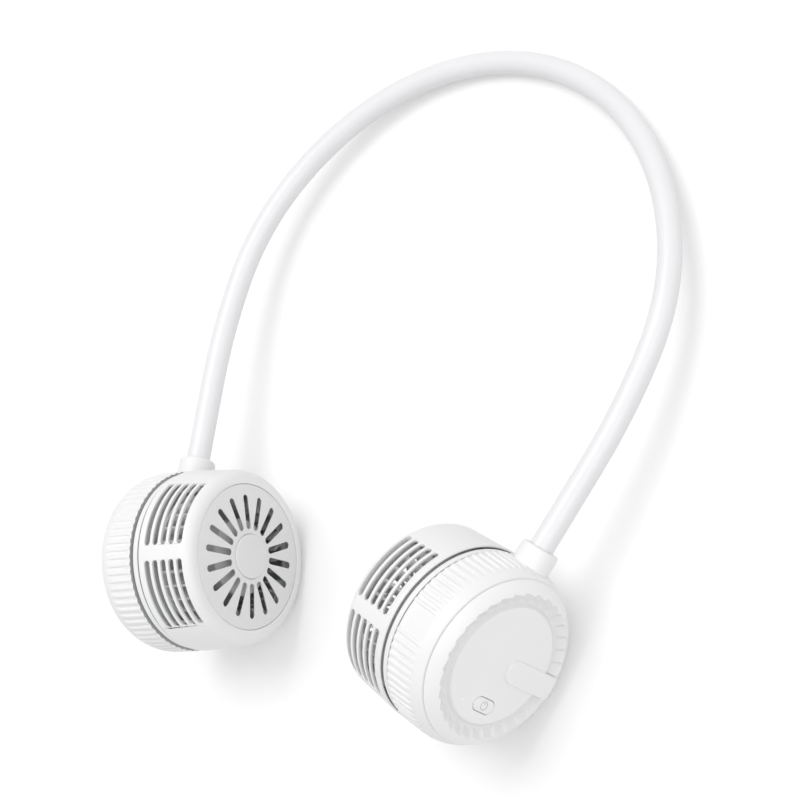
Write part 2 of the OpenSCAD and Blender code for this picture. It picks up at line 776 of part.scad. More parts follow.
module motor_plate() color("white") turned(-vent_turn) difference() {
    union() {
        disc(plate_r, back_z, plate_top_z);
        disc(stub_r, stub_end_z, plate_top_z);
        disc(post_r, back_z, post_top_z);
        rotate([0, 0, scroll_angle]) rotate_extrude(angle = 360 - 2 * scroll_angle)
            block_2d(scroll_r, back_z + plate_t / 2, scroll_r + scroll_t, scroll_end_z);
    }
    disc(stub_bore_r, stub_end_z - over, back_z);
    disc(bearing_r + seat_play, post_bore_z, post_top_z + over);
    translate([lead_hole_at, 0, 0]) disc(lead_hole_r, back_z - over, plate_top_z + over);
    washer_screw_places() disc(washer_screw_r + seat_play, stub_end_z - over, washer_z + washer_screw_len);
}

module retaining_washer() color("silver") turned(-vent_turn) difference() {
    tube(washer_r, stub_bore_r, washer_z, stub_end_z);
    washer_screw_places() disc(washer_screw_r + seat_play, washer_z - over, stub_end_z + over);
}

module washer_screws() color("silver") turned(-vent_turn) washer_screw_places() {
    disc(washer_screw_r, washer_z - over / 2, washer_z + washer_screw_len - seat_play);
    disc(washer_head_r, washer_z - washer_head_h, washer_z);
}

module motor_board() color("darkgreen") turned(-vent_turn) difference() {
    tube(motor_board_r, post_r + seat_play, motor_board_z, motor_board_z + motor_board_t);
    translate([lead_hole_at, 0, 0]) disc(lead_hole_r, plate_top_z - over, impeller_z);
}

module pole_places() for (k = [1 : pole_count]) rotate(k * 360 / pole_count) children();

// Iron core with nine poles, each with its winding
module motor_stator() color("peru") {
    translate([0, 0, lamination_z]) linear_extrude(lamination_end_z - lamination_z) difference() {
        union() {
            circle(r = post_r + stator_hub_t);
            pole_places() block_2d(post_r, -pole_w / 2, stator_r - pole_shoe_t / 2, pole_w / 2);
            difference() {
                circle(r = stator_r);
                circle(r = stator_shoe_in_r);
                pole_places() rotate(180 / pole_count) block_2d(0, -pole_gap / 2, stator_r + over, pole_gap / 2);
            }
        }
        circle(r = post_r + seat_play);
    }
    translate([0, 0, stator_z]) linear_extrude(stator_end_z - stator_z) difference() {
        pole_places() block_2d(winding_in_r, -winding_w / 2, stator_shoe_in_r - seat_play, winding_w / 2);
        pole_places() rotate(180 / pole_count) block_2d(0, -run_gap / 2, stator_r, run_gap / 2);
    }
}

module bearings() color("goldenrod") {
    tube(bearing_r, shaft_r + bore_play, post_bore_z, post_bore_z + bearing_len);
    tube(bearing_r, shaft_r + bore_play, post_top_z - bearing_len, post_top_z);
}

module blade_2d() intersection() {
    difference() {
        circle(r = impeller_r - blade_inset);
        circle(r = blade_in_r);
    }
    translate([blade_mid_r, -blade_curve_r]) difference() {
        circle(r = blade_curve_r + blade_t / 2);
        circle(r = blade_curve_r - blade_t / 2);
    }
    block_2d(blade_in_r - over, -blade_curve_r / 2, impeller_r, blade_curve_r / 2);
}

module impeller() color("white") difference() {
    union() {
        disc(impeller_r, impeller_z, impeller_z + back_disc_t);
        rotate_extrude() round_disc_2d(rotor_r, impeller_z, impeller_top_z, rotor_round);
        tube(impeller_r, impeller_r - shroud_w, impeller_top_z - shroud_t, impeller_top_z);
        for (k = [1 : blade_count])
            rotate([0, 0, k * 360 / blade_count]) translate([0, 0, impeller_z + back_disc_t / 2])
                linear_extrude(impeller_top_z - impeller_z - (back_disc_t + shroud_t) / 2) blade_2d();
    }
    disc(rotor_in_r, impeller_z - over, rotor_in_z);
    disc(shaft_r + seat_play / 2, rotor_in_z - over, impeller_top_z - rotor_skin);
}

module magnet_ring() color("dimgray") tube(magnet_r, magnet_in_r, magnet_z, magnet_end_z);
module motor_shaft() color("silver") disc(shaft_r, shaft_z, impeller_top_z - rotor_skin - seat_play);

// Flat cell with round long edges
module battery() color("lightsteelblue") translate([-battery_len / 2, 0, (battery_z + battery_end_z) / 2])
    rotate([90, 0, 90]) linear_extrude(battery_len) union() {
        square([battery_w - 2 * battery_round, battery_t], center = true);
        square([battery_w, battery_t - 2 * battery_round], center = true);
        for (x = [-1, 1], y = [-1, 1])
            translate([x * (battery_w / 2 - battery_round), y * (battery_t / 2 - battery_round)])
                circle(r = battery_round);
    }

module control_board() color("darkgreen") {
    difference() {
        union() {
            disc(board_r, board_z, board_in_z);
            turned(-socket_turn) translate([0, -socket_w / 2 - board_tab_rim, board_z])
                cube([board_tab_end, socket_w + 2 * board_tab_rim, board_t]);
        }
        for (side = [-1, 1])
            translate([0, side * board_post_at, 0]) disc(board_screw_r + seat_play, board_z - over,
                board_in_z + over);
    }
    translate([board_r * chip_at_share, board_r * chip_at_share, board_z - chip_h])
        cube([chip_side, chip_side, chip_h + board_t / 2]);
    translate([board_r * chip_at_share, -board_r * chip_at_share, board_z - coil_h])
        cube([coil_side, coil_side, coil_h + board_t / 2]);
}

module board_screws() color("silver") for (side = [-1, 1]) translate([0, side * board_post_at, 0]) {
    disc(board_screw_r, board_z - board_head_h / 2, board_in_z + board_screw_len - seat_play);
    disc(board_head_r, board_z - board_head_h, board_z);
}

module button_switch() color("dimgray") translate([-button_out, -button_down, 0]) {
    translate([-switch_side / 2, -switch_side / 2, board_z - switch_h])
        cube([switch_side, switch_side, switch_h]);
    disc(switch_knob_r, switch_top_z, board_z - switch_h / 2);
}

module power_button() color("whitesmoke") translate([-button_out, -button_down, 0]) {
    translate([0, 0, button_top_z + button_round]) linear_extrude(flange_z - button_top_z)
        pill_2d(button_w, button_len);
    translate([0, 0, button_top_z]) linear_extrude(button_round + seat_play)
        pill_2d(button_w - 2 * button_round, button_len - 2 * button_round);
    translate([0, 0, flange_z]) linear_extrude(flange_t)
        pill_2d(button_w + 2 * flange_w, button_len + 2 * flange_w);
    disc(plunger_r, flange_z, plunger_end_z);
}

module status_light() color("lightcyan") translate([-light_out, light_up, 0]) {
    disc(light_r, disc_z, board_z - light_base_h / 2);
    disc(light_base_r, board_z - light_base_h, board_z);
}

module charging_socket() color("silver") turned(-socket_turn) translate([socket_start, 0, socket_z])
    rotate([90, 0, 90]) {
        linear_extrude(socket_len) difference() {
            rotate(90) pill_2d(socket_h, socket_w);
            rotate(90) pill_2d(socket_h - 2 * socket_wall, socket_w - 2 * socket_wall);
        }
        linear_extrude(socket_back) rotate(90) pill_2d(socket_h - socket_wall, socket_w - socket_wall);
        linear_extrude(socket_len - socket_back) square([socket_tongue_w, socket_tongue_t], center = true);
    }

neck_sleeve();
neck_core();
neck_leads();
left_head() collar();  // left_collar
left_head() ribbed_housing(left_patch_at);  // left_ribbed_housing
left_head() end_cap();  // left_end_cap
left_head() battery();  // left_battery
left_head() swivel_ring();  // left_swivel_ring
left_head() vent_drum();  // left_vent_drum
left_head() intake_grille();  // left_intake_grille
left_head() grille_centre();  // left_grille_centre
left_head() motor_plate();  // left_motor_plate
left_head() retaining_washer();  // left_retaining_washer
left_head() washer_screws();  // left_washer_screws
left_head() motor_board();  // left_motor_board
left_head() motor_stator();  // left_motor_stator
left_head() bearings();  // left_bearings
left_head() impeller();  // left_impeller
left_head() magnet_ring();  // left_magnet_ring
left_head() motor_shaft();  // left_motor_shaft
right_head() collar();  // right_collar
right_head() controls_housing();  // right_ribbed_housing
right_head() controls_end_cap();  // right_end_cap
right_head() battery();  // right_battery
right_head() swivel_ring();  // right_swivel_ring
right_head() vent_drum();  // right_vent_drum
right_head() intake_grille();  // right_intake_grille
right_head() grille_centre();  // right_grille_centre
right_head() motor_plate();  // right_motor_plate
right_head() retaining_washer();  // right_retaining_washer
right_head() washer_screws();  // right_washer_screws
right_head() motor_board();  // right_motor_board
right_head() motor_stator();  // right_motor_stator
right_head() bearings();  // right_bearings
right_head() impeller();  // right_impeller
right_head() magnet_ring();  // right_magnet_ring
right_head() motor_shaft();  // right_motor_shaft
right_head() power_button();
right_head() control_board();
right_head() board_screws();
right_head() button_switch();
right_head() status_light();
right_head() charging_socket();
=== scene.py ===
# %% [markdown]
# # Dressing a neck fan
# The fan is worn round the neck: a soft loop with a round head at each end. Its measured parts come
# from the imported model, which is loaded first and never moved. Every visible shell is then modelled
# again with softened edges, and every part gets its finish. The model is in metres. Sizes below are
# written in millimetres, and `mm` turns them into metres.

# %% Load the measured model
import json
import math
import bpy
from mathutils import Matrix, Vector

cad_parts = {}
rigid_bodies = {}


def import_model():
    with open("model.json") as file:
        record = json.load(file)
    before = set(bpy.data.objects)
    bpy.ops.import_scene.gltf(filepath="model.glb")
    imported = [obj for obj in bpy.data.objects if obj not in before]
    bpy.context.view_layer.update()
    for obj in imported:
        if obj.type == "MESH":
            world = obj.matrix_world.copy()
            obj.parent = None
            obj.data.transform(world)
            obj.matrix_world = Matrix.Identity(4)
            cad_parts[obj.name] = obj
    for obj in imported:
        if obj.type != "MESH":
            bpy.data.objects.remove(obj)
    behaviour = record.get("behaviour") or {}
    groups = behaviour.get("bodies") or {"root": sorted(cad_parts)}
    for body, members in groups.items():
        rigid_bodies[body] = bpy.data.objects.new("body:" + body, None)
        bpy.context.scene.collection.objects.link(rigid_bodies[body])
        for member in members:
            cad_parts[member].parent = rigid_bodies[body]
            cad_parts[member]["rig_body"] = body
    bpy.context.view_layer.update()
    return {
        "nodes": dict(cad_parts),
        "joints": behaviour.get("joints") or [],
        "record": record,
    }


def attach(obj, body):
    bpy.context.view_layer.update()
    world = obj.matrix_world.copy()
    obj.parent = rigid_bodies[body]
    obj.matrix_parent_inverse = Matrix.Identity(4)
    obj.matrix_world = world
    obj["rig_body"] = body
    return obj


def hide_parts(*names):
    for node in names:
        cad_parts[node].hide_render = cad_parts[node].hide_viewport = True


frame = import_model()
nodes = frame["nodes"]
joints = {joint["name"]: joint for joint in frame["joints"]}
mm = 0.001

# %% [markdown]
# The photograph is taken from the right front, a little under half-way up, with a long lens. The
# camera's place and turn were fitted to the outlines of the heads and the loop.

# %% Camera
bpy.ops.object.camera_add(location=(0.686378, -0.065143, 0.735303),
                          rotation=[math.radians(turn) for turn in (16.7323, 41.2582, 20.1066)])
camera = bpy.context.object
camera.name = "photo_camera"
camera.data.sensor_width = 36
camera.data.lens = 127.87
bpy.context.scene.camera = camera
print("camera", round(camera.location.length, 2), "m from the middle of the loop")

# %% [markdown]
# The heads are alike, and the right one is the left one's mirror image. So each shell is modelled
# once on the left drum's axis, with X towards the crown of the loop, Y up and Z towards the other
# head, and is then carried to its place. The axes come from the model's own swivel joints. A size
# along Z is called a station.

# %% Head frame
drum_axis = Vector(joints["left_swivel"]["axis"])
loop_normal = drum_axis.cross(Vector(joints["right_swivel"]["axis"])).normalized()
loop_normal *= math.copysign(1, loop_normal.z)
crown_way = loop_normal.cross(drum_axis)
head_centre = Vector(joints["left_swivel"]["pos_m"])
left_head = (Matrix.Translation(head_centre)
             @ Matrix((crown_way, loop_normal, drum_axis)).transposed().to_4x4())
mirrored = Matrix.Scale(-1, 4, (1, 0, 0))


def head_reach(node):
    """Widest radius, lowest and highest station of a left-head part on its drum's axis."""
    points = [left_head.inverted() @ vertex.co for vertex in nodes[node].data.vertices]
    return (max(math.hypot(point.x, point.y) for point in points),
            min(point.z for point in points), max(point.z for point in points))


foot_r, back_z, front_z = head_reach("left_vent_drum")
plate_r, seat_z, dome_z = head_reach("left_intake_grille")
disc_edge_r, _, disc_top_z = head_reach("left_grille_centre")
print("vented drum from", round(back_z / mm, 2), "to", round(front_z / mm, 2), "mm on its axis")

# %% [markdown]
# A few small tools are used for most shells. `rounded` turns the corners of an outline into small
# arcs. `lathe` draws an outline as a chain of points and spins it round the drum's axis, as a lathe
# does. A round part could also be stacked from cylinders, but turning gives even quads and soft
# shading. `at` and `turned` give the moves that put a finished form in its place.

# %% Outline and lathe
weld = 0.002


def at(x=0.0, y=0.0, z=0.0):
    """Move by millimetres."""
    return Matrix.Translation((x * mm, y * mm, z * mm))


def turned(degrees, axis="Z"):
    """Turn round an axis through the origin."""
    return Matrix.Rotation(math.radians(degrees), 4, axis)


def only(piece):
    """Leaves one piece selected and active."""
    bpy.ops.object.select_all(action="DESELECT")
    piece.select_set(True)
    bpy.context.view_layer.objects.active = piece
    return piece


def edited(piece, *steps):
    """Runs edit-mode steps on a piece, each on all of its mesh."""
    only(piece)
    bpy.ops.object.mode_set(mode="EDIT")
    for step, settings in steps:
        bpy.ops.mesh.select_all(action="SELECT")
        getattr(bpy.ops.mesh, step)(**settings)
    bpy.ops.object.mode_set(mode="OBJECT")
    return piece


def faces_out(piece):
    """Turns every face of a closed piece outwards."""
    return edited(piece, ("normals_make_consistent", {"inside": False}))


def rounded(corners, steps=4):
    """Outline of (radius, station, rounding) corners in millimetres, with an arc at each."""
    points = []
    for k, (r, z, rounding) in enumerate(corners):
        here = Vector((r, z))
        if not rounding or k in (0, len(corners) - 1):
            points.append(here)
            continue
        before = (Vector(corners[k - 1][:2]) - here).normalized()
        after = (Vector(corners[k + 1][:2]) - here).normalized()
        half = before.angle(after) / 2
        centre = here + (before + after).normalized() * rounding / math.sin(half)
        start = here + before * rounding / math.tan(half) - centre
        end = here + after * rounding / math.tan(half) - centre
        for i in range(steps + 1):
            points.append(centre + start.lerp(end, i / steps).normalized() * rounding)
    return [(point.x, point.y) for point in points]


def lathe(name, points, around):
    """Spins an outline of (radius, station) points in millimetres round the Z axis."""
    bpy.ops.object.select_all(action="DESELECT")
    bpy.ops.mesh.primitive_plane_add(size=mm, location=(points[0][0] * mm, 0, points[0][1] * mm))
    piece = bpy.context.object
    piece.name = piece.data.name = name
    bpy.ops.object.transform_apply()
    bpy.ops.object.mode_set(mode="EDIT")
    bpy.ops.mesh.select_all(action="SELECT")
    bpy.ops.mesh.merge(type="CENTER")
    for (r, z), (next_r, next_z) in zip(points, points[1:]):
        step = ((next_r - r) * mm, 0, (next_z - z) * mm)
        bpy.ops.mesh.extrude_region_move(TRANSFORM_OT_translate={"value": step})
    bpy.ops.mesh.select_all(action="SELECT")
    bpy.ops.mesh.spin(steps=around, angle=2 * math.pi, center=(0, 0, 0), axis=(0, 0, 1))
    bpy.ops.mesh.select_all(action="SELECT")
    bpy.ops.mesh.remove_doubles(threshold=weld * mm)
    bpy.ops.object.mode_set(mode="OBJECT")
    return faces_out(piece)


def close_ends(piece):
    """Closes the open rings that an outline leaves when it stops short of the axis."""
    edited(piece, ("fill_holes", {"sides": 0}))
    return faces_out(piece)


def step_round(vertex, count):
    """Number of the step round the axis that a point stands on, out of a full turn's count."""
    return round(math.degrees(math.atan2(vertex.co.y, vertex.co.x)) % 360 / 360 * count)


# %% [markdown]
# Slots, mouths, the tongue and the button are all pills, so one tool makes them: a short cylinder
# whose halves are pushed apart. `sliced` cuts a piece across at even steps, which gives it points
# to bend. `soft_edges` breaks sharp edges with a bevel, because no moulded edge is truly sharp.

# %% Pills, cuts and edges
pill_sides = 32


def pill(name, width, length, height):
    """Upright pill along X from the floor up. A length equal to the width gives a rod."""
    bpy.ops.object.select_all(action="DESELECT")
    bpy.ops.mesh.primitive_cylinder_add(
        vertices=pill_sides, radius=width / 2 * mm, depth=height * mm,
        location=(0, 0, height / 2 * mm), rotation=(0, 0, math.pi / pill_sides))
    piece = bpy.context.object
    piece.name = piece.data.name = name
    bpy.ops.object.transform_apply()
    for vertex in piece.data.vertices:
        vertex.co.x += math.copysign((length - width) / 2 * mm, vertex.co.x)
    return piece


def sliced(piece, pitch, span, across):
    """Cuts a piece into strips of about one pitch, over a span that is centred on the axis."""
    count = math.ceil(span / pitch)
    planes = [Vector(across) * (k / count - 0.5) * span * mm for k in range(count + 1)]
    return edited(piece, *(("bisect", {"plane_co": plane, "plane_no": across}) for plane in planes))


def cut_off(piece, plane_at, facing):
    """Cuts a piece at a plane, drops what lies beyond it and closes the cut."""
    return edited(piece, ("bisect", {"plane_co": plane_at, "plane_no": facing,
                                     "clear_outer": True, "use_fill": True}))


def modified(piece, kind, **settings):
    """Adds one modifier to a piece, sets it and applies it."""
    only(piece)
    modifier = piece.modifiers.new(kind.lower(), kind)
    for setting, value in settings.items():
        setattr(modifier, setting, value)
    bpy.ops.object.modifier_apply(modifier=modifier.name)
    return piece


def cut_away(piece, cutter, operation="DIFFERENCE"):
    """Takes a cutter's space out of a piece, or adds it, and deletes the cutter."""
    modified(piece, "BOOLEAN", operation=operation, solver="EXACT", object=cutter)
    bpy.data.objects.remove(cutter)
    return piece


def shade(piece, angle=35):
    """Shades a piece smooth, apart from edges that are sharper than an angle."""
    only(piece)
    bpy.ops.object.shade_smooth_by_angle(angle=math.radians(angle))
    return piece


def soft_edges(piece, width, angle=35, segments=2):
    """Breaks the sharp edges of a piece with a small bevel and shades the rest smooth."""
    modified(piece, "BEVEL", width=width * mm, segments=segments, limit_method="ANGLE",
             angle_limit=math.radians(angle), use_clamp_overlap=False)
    return shade(piece, angle)


def copied(piece, name):
    """Copy of a piece with a mesh of its own."""
    twin = piece.copy()
    twin.data = piece.data.copy()
    twin.name = twin.data.name = name
    bpy.context.scene.collection.objects.link(twin)
    return twin


def joined(pieces):
    """One piece out of several."""
    only(pieces[0])
    for piece in pieces[1:]:
        piece.select_set(True)
    bpy.ops.object.join()
    return pieces[0]


# %% [markdown]
# Moulded plastic is never one flat colour: the tool leaves a fine grain, and tone and gloss drift a
# little from place to place. Every finish here needs that, so it is built once as a group of nodes
# with named inputs. Painting it on each material would also work, but one group keeps them alike.

# %% Shared texture group
def new_group(name, inputs, outputs):
    """Empty shader node group with named inputs and outputs."""
    group = bpy.data.node_groups.new(name, "ShaderNodeTree")
    for socket, kind, value in inputs:
        made = group.interface.new_socket(name=socket, in_out="INPUT", socket_type=kind)
        made.default_value = value
    for socket, kind in outputs:
        group.interface.new_socket(name=socket, in_out="OUTPUT", socket_type=kind)
    return group, group.nodes.new("NodeGroupInput"), group.nodes.new("NodeGroupOutput")


# Moulded plastic: a very fine grain from the tool's texture, and a slow drift of tone and gloss
moulded, taken, given = new_group("moulded_surface", [
    ("Colour", "NodeSocketColor", (0.8, 0.8, 0.8, 1)), ("Drift", "NodeSocketFloat", 0.02),
    ("Roughness", "NodeSocketFloat", 0.45), ("Grain scale", "NodeSocketFloat", 6000),
    ("Grain depth", "NodeSocketFloat", 0.1)], [
    ("Colour", "NodeSocketColor"), ("Roughness", "NodeSocketFloat"),
    ("Normal", "NodeSocketVector")])
position = moulded.nodes.new("ShaderNodeTexCoord")
drift = moulded.nodes.new("ShaderNodeTexNoise")
drift.inputs["Scale"].default_value = 45
drift.inputs["Detail"].default_value = 3
grain = moulded.nodes.new("ShaderNodeTexNoise")
grain.inputs["Detail"].default_value = 2
darker = moulded.nodes.new("ShaderNodeMapRange")
darker.inputs["From Min"].default_value = 0.3
darker.inputs["From Max"].default_value = 0.7
dim = moulded.nodes.new("ShaderNodeMath")
dim.operation = "SUBTRACT"
dim.inputs[0].default_value = 1
tone = moulded.nodes.new("ShaderNodeVectorMath")
tone.operation = "SCALE"
gloss = moulded.nodes.new("ShaderNodeMath")
gloss.operation = "ADD"
bump = moulded.nodes.new("ShaderNodeBump")
bump.inputs["Distance"].default_value = 0.02 * mm
link = moulded.links.new
link(position.outputs["Object"], drift.inputs["Vector"])
link(position.outputs["Object"], grain.inputs["Vector"])
link(taken.outputs["Grain scale"], grain.inputs["Scale"])
link(drift.outputs["Fac"], darker.inputs["Value"])
link(taken.outputs["Drift"], darker.inputs["To Max"])
link(darker.outputs["Result"], dim.inputs[1])
link(taken.outputs["Colour"], tone.inputs[0])
link(dim.outputs["Value"], tone.inputs["Scale"])
link(tone.outputs["Vector"], given.inputs["Colour"])
link(taken.outputs["Roughness"], gloss.inputs[0])
link(darker.outputs["Result"], gloss.inputs[1])
link(gloss.outputs["Value"], given.inputs["Roughness"])
link(grain.outputs["Fac"], bump.inputs["Height"])
link(taken.outputs["Grain depth"], bump.inputs["Strength"])
link(bump.outputs["Normal"], given.inputs["Normal"])
print("moulded surface:", len(moulded.nodes), "nodes")

# %% [markdown]
# The fan is white all over, but its plastics differ a little in whiteness and gloss, and the parts
# inside are metal, foil, copper and dark resin. A finish is a Principled shader fed by the group.
# What is the same all over a surface, such as its metal or its glow, is set on the shader itself.

# %% Finishes
def finish(name, colour, roughness, drift_by=0.02, grain_scale=6000, grain_depth=0.1, **plain):
    """Material of one finish: its group's values, and plain values for the shader's own sockets."""
    material = bpy.data.materials.new(name)
    material.use_nodes = True
    tree = material.node_tree
    shader = tree.nodes["Principled BSDF"]
    surface = tree.nodes.new("ShaderNodeGroup")
    surface.node_tree = moulded
    surface.inputs["Colour"].default_value = (*colour, 1)
    surface.inputs["Roughness"].default_value = roughness
    surface.inputs["Drift"].default_value = drift_by
    surface.inputs["Grain scale"].default_value = grain_scale
    surface.inputs["Grain depth"].default_value = grain_depth
    tree.links.new(surface.outputs["Colour"], shader.inputs["Base Color"])
    tree.links.new(surface.outputs["Roughness"], shader.inputs["Roughness"])
    tree.links.new(surface.outputs["Normal"], shader.inputs["Normal"])
    for socket, value in plain.items():
        shader.inputs[socket.replace("_", " ")].default_value = value
    return material


finishes = {
    "shell": finish("white_shell", (0.84, 0.84, 0.84), 0.42),
    "cap": finish("white_cap", (0.86, 0.86, 0.86), 0.38),
    "grille": finish("white_grille", (0.78, 0.78, 0.78), 0.42),
    "sleeve": finish("soft_sleeve", (0.79, 0.79, 0.803), 0.3, grain_scale=9000, grain_depth=0.06),
    "steel": finish("plated_steel", (0.62, 0.62, 0.62), 0.3, drift_by=0.06, Metallic=1.0),
    "bronze": finish("sintered_bronze", (0.55, 0.36, 0.17), 0.45, drift_by=0.1, Metallic=1.0),
    "laminations": finish("stator_windings", (0.42, 0.2, 0.09), 0.35, drift_by=0.15,
                          grain_scale=3000, grain_depth=0.4),
    "magnet": finish("bonded_magnet", (0.03, 0.03, 0.03), 0.5, drift_by=0.1),
    "foil": finish("pouch_foil", (0.6, 0.62, 0.66), 0.4, drift_by=0.08, Metallic=0.8),
    "circuit": finish("solder_mask", (0.01, 0.1, 0.04), 0.25, drift_by=0.1),
    "lead": finish("wire_insulation", (0.35, 0.02, 0.02), 0.4, drift_by=0.05),
    "switch": finish("switch_body", (0.02, 0.02, 0.02), 0.4, drift_by=0.05),
    "light": finish("light_guide", (0.9, 0.9, 0.9), 0.15,
                    Emission_Color=(1, 1, 1, 1), Emission_Strength=0.1),
    "print": finish("grey_print", (0.5, 0.5, 0.515), 0.5),
    # Painted shade: a grey below the white for the impeller and motor plate, for the shade inside the
    # drum.
    "inside": finish("painted_shade_inner_grey", (0.64, 0.64, 0.645), 0.5, drift_by=0.04),
    # Painted shade: a slightly darker white for the faces of the cap's moat.
    "moat_shade": finish("painted_shade_moat", (0.785, 0.785, 0.785), 0.5),
    # Painted shade: a grey for the faces that line the channel beside the swivel ring.
    "gap_shade": finish("painted_shade_gap", (0.38, 0.38, 0.385), 0.6, drift_by=0.04),
}
slot_of = {entry["node"]: entry["material_slot"] for entry in frame["record"]["subparts"]}
for name, node in nodes.items():
    node.data.materials.clear()
    # The impeller and motor plate take the grey of painted shade.
    inside = name.endswith(("impeller", "motor_plate"))
    node.data.materials.append(finishes["inside" if inside else slot_of[name]])
print(len(finishes), "finishes on", len(nodes), "parts")

# %% [markdown]
# Placing a finished shell: the mesh itself is moved from the drum's axis to the head, so the object
# stays at the origin. The right head's copy is mirrored, which turns it inside out, and that is
# undone. Faces that line a gap or the cap's moat are marked for a darker finish of painted shade.
# `dressed` says which part the shell stands for, and gives it that part's body and finish.

# %% Placing tools
def carried(piece, side):
    """Carries a piece from the drum's axis to one head."""
    piece.data.transform(left_head if side == "left" else mirrored @ left_head)
    return piece if side == "left" else edited(piece, ("flip_normals", {}))


def mark_painted_shade(piece, is_shaded):
    """Marks faces for a darker finish of painted shade, told by radius, station and how far they face
    outwards.
    """
    for face in piece.data.polygons:
        radius = max(face.center.xy.length, 0.001 * mm)
        outward = face.normal.xy.dot(face.center.xy) / radius
        face.material_index = int(is_shaded(radius / mm, face.center.z / mm, outward))


def finished(piece, body, slot, material):
    """Gives a piece its body and its finish, with a darker one of painted shade on the marked faces.
    """
    piece.data.materials.append(material)
    if any(face.material_index for face in piece.data.polygons):
        piece.data.materials.append(finishes["moat_shade" if slot == "cap" else "gap_shade"])
    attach(piece, body)


def dressed(piece, node):
    """Lets a piece stand for a measured part."""
    finished(piece, nodes[node]["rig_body"], slot_of[node], finishes[slot_of[node]])
    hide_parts(node)


def install_both(piece, node):
    """Installs a piece on the left head and its twin on the right one."""
    twin = copied(piece, piece.name.replace("left_", "right_"))
    dressed(carried(piece, "left"), "left_" + node)
    dressed(carried(twin, "right"), "right_" + node)


# %% [markdown]
# The vented drum is a short tapered tube with a well-rounded rim. Its outline runs round the wall,
# over the rim, down into the step that seats the grille and back inside. A stack of discs could
# make it too, but the rim's soft roll comes best from one outline.

# %% Vented drum
foot, back, front, seat = foot_r / mm, back_z / mm, front_z / mm, seat_z / mm
plate, grille_gap = plate_r / mm, 0.12
drum_taper, drum_wall, rim_round = 0.06, 0.9, 4.5
foot_flat, foot_rise, foot_round = 0.6, 0.5, 0.4
seat_w, seat_deep = 1.3, 1.2
front_corner = foot - drum_taper * (front - back)
plate_hole, ledge = plate + grille_gap, seat - seat_deep
vent_drum = lathe("left_vent_shell", rounded([
    (foot - drum_wall, back, 0), (foot - foot_flat, back, 0), (foot, back + foot_rise, foot_round),
    (front_corner, front, rim_round), (plate_hole, front, 0.2), (plate_hole, seat, 0),
    (plate - seat_w, seat, 0.1), (plate - seat_w, ledge, 0),
    (front_corner - drum_wall, ledge, rim_round - drum_wall), (foot - drum_wall, back, 0)], 8),
    around=360)
print("vented drum:", len(vent_drum.data.polygons), "faces")

# %% [markdown]
# The air leaves by two groups of five slots in the drum's side, with a bar between the groups. A
# straight pill would cut a slot with slanting ends, so the pill is sliced across many times with
# bisects, and is then bent round the drum's axis.

# %% Vent slots
drum, bar_w = 32.5, 5.5
vents_turn, group_turn = 13.8, 48.3
bar_turn = math.degrees(math.asin(bar_w / (2 * drum)))
slot_w, slot_pitch, first_slot, slot_rows = 2.45, 3.66, 4.15, 5
cutter_t, cutter_deep, cutter_strips = 10, 6, 24


def vent_cutter(station, side):
    """Pill that lies round the drum at one station, on one side of the bar between the groups."""
    length = math.radians(group_turn) * foot
    cutter = pill("vent_cutter", slot_w, length, cutter_t)
    sliced(cutter, (length - slot_w) / cutter_strips, length - slot_w, (1, 0, 0))
    middle = math.radians(90 + vents_turn + side * (bar_turn + group_turn / 2))
    for vertex in cutter.data.vertices:
        turn = middle + vertex.co.x / foot_r
        radius = foot_r - cutter_deep * mm + vertex.co.z
        vertex.co = (radius * math.cos(turn), radius * math.sin(turn), station * mm + vertex.co.y)
    return faces_out(cutter)


for row in range(slot_rows):
    for side in (-1, 1):
        cut_away(vent_drum, vent_cutter(back + first_slot + row * slot_pitch, side))
soft_edges(vent_drum, 0.12)
# Painted shade: the drum's back face in the channel takes the grey gap finish.
mark_painted_shade(vent_drum, lambda radius, station, outward:
           station < back + 0.4 and radius < foot - 0.35)
install_both(vent_drum, "vent_drum")
print("vented drum with its slots:", len(vent_drum.data.polygons), "faces")

# %% [markdown]
# The grille is a shallow dome. It is made as a flat plate first, because slots cut cleanly through
# flat faces. A grid of bisects then gives it enough points to bend, and every point drops by as
# much as the sphere does at that distance from the middle.

# %% Intake grille
disc_edge, dome_r = disc_edge_r / mm, 220
plate_t, seat_t, seat_edge = 0.5, 1.5, disc_edge + 0.8
hub_r, hub_t, hub_edge = 2, 0.9, disc_edge + 0.15
intake_w, intake_count, intake_points = 2.4, 18, 12
intake_in, intake_out = disc_edge + 1.8, plate - 3.9
intake_phase = 90 + vents_turn - 4.3
bend_pitch = 2.6
grille = lathe("left_grille_plate", rounded([
    (hub_r, -seat_t, 0), (seat_edge, -seat_t, 0), (seat_edge, -plate_t, 0), (plate, -plate_t, 0),
    (plate, 0, 0.3), (hub_edge, 0, 0.1), (hub_edge, -hub_t, 0), (hub_r, -hub_t, 0)]),
    around=intake_count * intake_points)
close_ends(grille)
slots = []
for k in range(intake_count):
    slot = pill("intake_cutter", intake_w, intake_out - intake_in, 6)
    slot.data.transform(turned(intake_phase + k * 360 / intake_count)
                        @ at((intake_out + intake_in) / 2, 0, -4))
    slots.append(slot)
cut_away(grille, joined(slots))
soft_edges(grille, 0.1)
sliced(grille, bend_pitch, 2 * plate, (1, 0, 0))
sliced(grille, bend_pitch, 2 * plate, (0, 1, 0))
for vertex in grille.data.vertices:
    reach = vertex.co.xy.length / mm
    vertex.co.z += dome_z + (math.sqrt(dome_r ** 2 - reach ** 2) - dome_r) * mm
install_both(grille, "intake_grille")
print("grille:", len(grille.data.polygons), "faces")

# %% [markdown]
# A plain disc covers the middle of the grille, where the motor would show. A cylinder with a bevel
# could make it, but a turned outline gives its rim the same soft roll as the other round parts.

